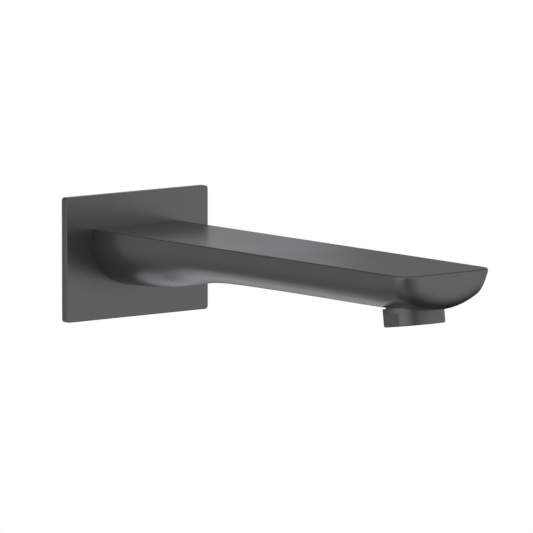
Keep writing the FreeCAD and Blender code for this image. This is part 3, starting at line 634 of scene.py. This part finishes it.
def make_cut(number, start, axis, profile):
    """A closed turned shape about an axis."""
    turned = Vector(axis).to_track_quat("Z", "Y")
    angles = [math.tau * k / CUT_COLUMNS for k in range(CUT_COLUMNS)]
    points = [(Vector(start) + turned @ Vector((r * math.cos(a), r * math.sin(a), h))) * MM
              for r, h in profile for a in angles]
    faces = [tuple(range(CUT_COLUMNS)), tuple(range(len(points) - CUT_COLUMNS, len(points)))]
    for row in range(0, len(points) - CUT_COLUMNS, CUT_COLUMNS):
        for k in range(CUT_COLUMNS):
            onward = (k + 1) % CUT_COLUMNS
            faces.append((row + k, row + onward, row + CUT_COLUMNS + onward, row + CUT_COLUMNS + k))
    return link_mesh(f"machined_cut_{number}", points, faces)


print("machined cuts:", len(MACHINED_CUTS))

# %% The casting's mesh
CASTING_CREASE = math.radians(35)


def make_casting():
    """The skin less the machined cuts."""
    width = len(skin[0])
    points = [point for row in skin for point in row]
    faces = [(row + k, row + k + 1, row + width + k + 1, row + width + k)
             for row in range(0, len(points) - width, width) for k in range(width - 1)]
    faces += [(row, row + width - 1, row + 2 * width - 1, row + width)
              for row in range(0, len(points) - width, width)]
    last = len(points) - width
    faces += [(last + k, last + k + 1, last + width - 2 - k, last + width - 1 - k)
              for k in range(ROLL_STEPS)]
    faces += [tuple(range(width)), tuple(range(last + ROLL_STEPS, last + width - ROLL_STEPS))]
    piece = link_mesh("spout_casting", points, faces)
    cuts = [make_cut(number, *cut) for number, cut in enumerate(MACHINED_CUTS)]
    for cut in cuts:
        modifier = piece.modifiers.new(cut.name, "BOOLEAN")
        modifier.operation, modifier.solver, modifier.object = "DIFFERENCE", "EXACT", cut
    now = bpy.context.evaluated_depsgraph_get()
    machined = bpy.data.meshes.new_from_object(piece.evaluated_get(now))
    piece.modifiers.clear()
    piece.data = machined
    for cut in cuts:
        bpy.data.objects.remove(cut)
    machined.shade_smooth()
    machined.set_sharp_from_angle(angle=CASTING_CREASE)
    machined.materials.clear()
    machined.materials.append(satin_anthracite)
    piece.modifiers.new("even_shading", "WEIGHTED_NORMAL").keep_sharp = True
    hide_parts("spout_body")
    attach(piece, "root")
    return piece


casting = make_casting()
print("casting faces:", len(casting.data.polygons))

# %% [markdown]
# The floor stands for the seamless paper of a product shot: plain white, far under the spout. It is
# there for the camera alone. No reflection or shadow meets it, so it can't lighten the metal from
# below, and its underside is clear, so a view from underneath looks through it.

# %% Floor
FLOOR_HEIGHT = -0.30
FLOOR_SIZE = 60.0
PAPER_WHITE = (1.0, 1.0, 1.0, 1.0)


def make_floor():
    material = bpy.data.materials.new("seamless_paper")
    material.use_nodes = True
    tree = material.node_tree
    tree.nodes.clear()
    white = add_node(tree, "ShaderNodeEmission", Color=PAPER_WHITE)
    clear = add_node(tree, "ShaderNodeBsdfTransparent")
    behind = add_node(tree, "ShaderNodeNewGeometry").outputs["Backfacing"]
    sides = add_node(tree, "ShaderNodeMixShader", _0=behind, _1=white.outputs[0], _2=clear.outputs[0])
    add_node(tree, "ShaderNodeOutputMaterial", Surface=sides.outputs[0])
    mesh = bpy.data.meshes.new("floor")
    half = FLOOR_SIZE / 2
    corners = [(-half, -half, 0), (half, -half, 0), (half, half, 0), (-half, half, 0)]
    mesh.from_pydata(corners, [], [(0, 1, 2, 3)])
    mesh.materials.append(material)
    floor = bpy.data.objects.new("floor", mesh)
    floor.location.z = FLOOR_HEIGHT
    bpy.context.scene.collection.objects.link(floor)
    for ray in ("glossy", "diffuse", "shadow", "transmission"):
        setattr(floor, f"visible_{ray}", False)
    return floor


floor = make_floor()
print("floor at", FLOOR_HEIGHT, "m:", floor.name)

# %% [markdown]
# A metal shows what surrounds it, so the surround is the light. Each softbox is a soft lobe of
# brightness in the world. A face shows the camera whatever lies where the view bounces off it, so one
# short formula says where most of the softboxes hang: pick a face, and the light for it follows.
# Black flags take light away in the same soft way. The nose and the collar mirror them as the dark
# bands that show how round they are.

# %% Softboxes and flags
def mirrored_by(across, along, up):
    """The way in which the camera sees a face with this outward direction mirror its surroundings."""
    outward = Vector((across, along, up)).normalized()
    return forward - 2 * forward.dot(outward) * outward


# Each softbox: the way to it, how narrow it is, and how bright. All but the last two hang where one
# face mirrors them: the plate and the front, the front's right, the nose's left, the side, the lower
# side and the top's left edge. Then a wide key over the camera's left, and a dim one overhead
SOFTBOXES = [
    (mirrored_by(0, -1, 0), 4.0, 1.25),
    (mirrored_by(1, -2, 0), 6.0, 0.70),
    (mirrored_by(-2, -1, 0), 4.0, 1.55),
    (mirrored_by(-1, 0, 0), 6.0, 0.35),
    (mirrored_by(-1, 0, -1), 8.0, 0.40),
    (mirrored_by(-1, 0, 4), 20.0, 0.45),
    (Vector((-0.4, -0.8, 0.4)).normalized(), 2.0, 0.90),
    (Vector((0, 0, 1)), 4.0, 0.60),
]
# The flags hang where the collar, the nose's corner, the front's underside and the belly mirror them
FLAGS = [
    (mirrored_by(-4, -5, 1), 30.0, 1.00),
    (mirrored_by(-4, -5, -1), 30.0, 0.80),
    (mirrored_by(0, -1, -1), 10.0, 0.50),
    (mirrored_by(0, -1, -2), 5.0, 0.10),
]
print("softboxes:", len(SOFTBOXES), "flags:", len(FLAGS))

# %% Surround
def calculate(tree, operation, *values):
    """One step of arithmetic on numbers or sockets."""
    inputs = {f"_{place}": value for place, value in enumerate(values)}
    return add_node(tree, "ShaderNodeMath", {"operation": operation}, **inputs).outputs[0]


def make_surround():
    world = bpy.data.worlds.new("surround")
    bpy.context.scene.world = world
    world.use_nodes = True
    tree = world.node_tree
    tree.nodes.clear()
    towards = add_node(tree, "ShaderNodeTexCoord").outputs["Generated"]
    total = 0.0
    flags = [(direction, sharpness, -strength) for direction, sharpness, strength in FLAGS]
    for direction, sharpness, strength in SOFTBOXES + flags:
        facing = add_node(tree, "ShaderNodeVectorMath", {"operation": "DOT_PRODUCT"},
                          _0=towards, _1=direction)
        excess = calculate(tree, "SUBTRACT", facing.outputs["Value"], 1.0)
        lobe = calculate(tree, "EXPONENT", calculate(tree, "MULTIPLY", excess, sharpness))
        total = calculate(tree, "MULTIPLY_ADD", lobe, strength, total)
    light = add_node(tree, "ShaderNodeBackground", Strength=calculate(tree, "MAXIMUM", total, 0.0))
    paper = add_node(tree, "ShaderNodeBackground", Color=PAPER_WHITE)
    seen = add_node(tree, "ShaderNodeLightPath").outputs["Is Camera Ray"]
    choice = add_node(tree, "ShaderNodeMixShader", _0=seen, _1=light.outputs[0], _2=paper.outputs[0])
    add_node(tree, "ShaderNodeOutputWorld", Surface=choice.outputs[0])
    return world


surround = make_surround()
bpy.context.scene.view_settings.view_transform = "Standard"
print("surround:", len(surround.node_tree.nodes), "nodes")

# %% [markdown]
# A distant surround lights every part of a flat face almost alike, but the top and the belly's bright
# strip fade towards the nose. Something near does that: two lit cards about half a metre behind the
# wall's plane, the lower one under the floor, which no reflection sees. Their light is a touch violet,
# as the brightest places of the metal are in the photograph.

# %% Cards
# Each card: centre, then width and height, in metres, and power in watts
CARDS = [
    ((0.28, 0.52, 0.10), (0.52, 0.34), 0.155),
    ((0.25, 0.55, -0.46), (0.61, 0.36), 0.400),
]
CARD_TINT = (1.0, 0.99, 1.06)


def make_card(number, centre, size, power):
    """A small lit card, turned towards the camera's side of the wall and unseen by the camera."""
    light = bpy.data.lights.new(f"card_{number}", "AREA")
    light.shape, light.size, light.size_y, light.energy = "RECTANGLE", *size, power
    light.color = CARD_TINT
    card = bpy.data.objects.new(light.name, light)
    card.location = centre
    card.rotation_euler.x = -math.pi / 2
    card.visible_camera = False
    bpy.context.scene.collection.objects.link(card)
    return card


cards = [make_card(number, *card) for number, card in enumerate(CARDS)]
print("cards:", [card.name for card in cards])

# %% [markdown]
# Last, every solid gets its finish. The list runs from finish to pieces, because that is how a
# workshop would sort them: what is coated, what is turned, what is moulded. The two solids that have
# meshes of their own are in it too, so that no solid is left without a finish.

# %% Dress the solids
FINISHES = {
    satin_anthracite: ("wall_plate", "spout_body", "aerator_collar"),
    turned_brass: ("wall_connector",),
    screw_steel: ("grub_screw",),
    seal_rubber: ("plate_ring", "connector_ring_rear", "connector_ring_front", "aerator_washer"),
    seal_foam: ("plate_seal",),
    white_plastic: ("aerator_insert", "aerator_jet_disc"),
    grey_plastic: ("aerator_screen", "aerator_honeycomb"),
}
for material, names in FINISHES.items():
    for name in names:
        mesh = nodes[name].data
        mesh.materials.clear()
        mesh.materials.append(material)
    print(material.name, "on", ", ".join(names))
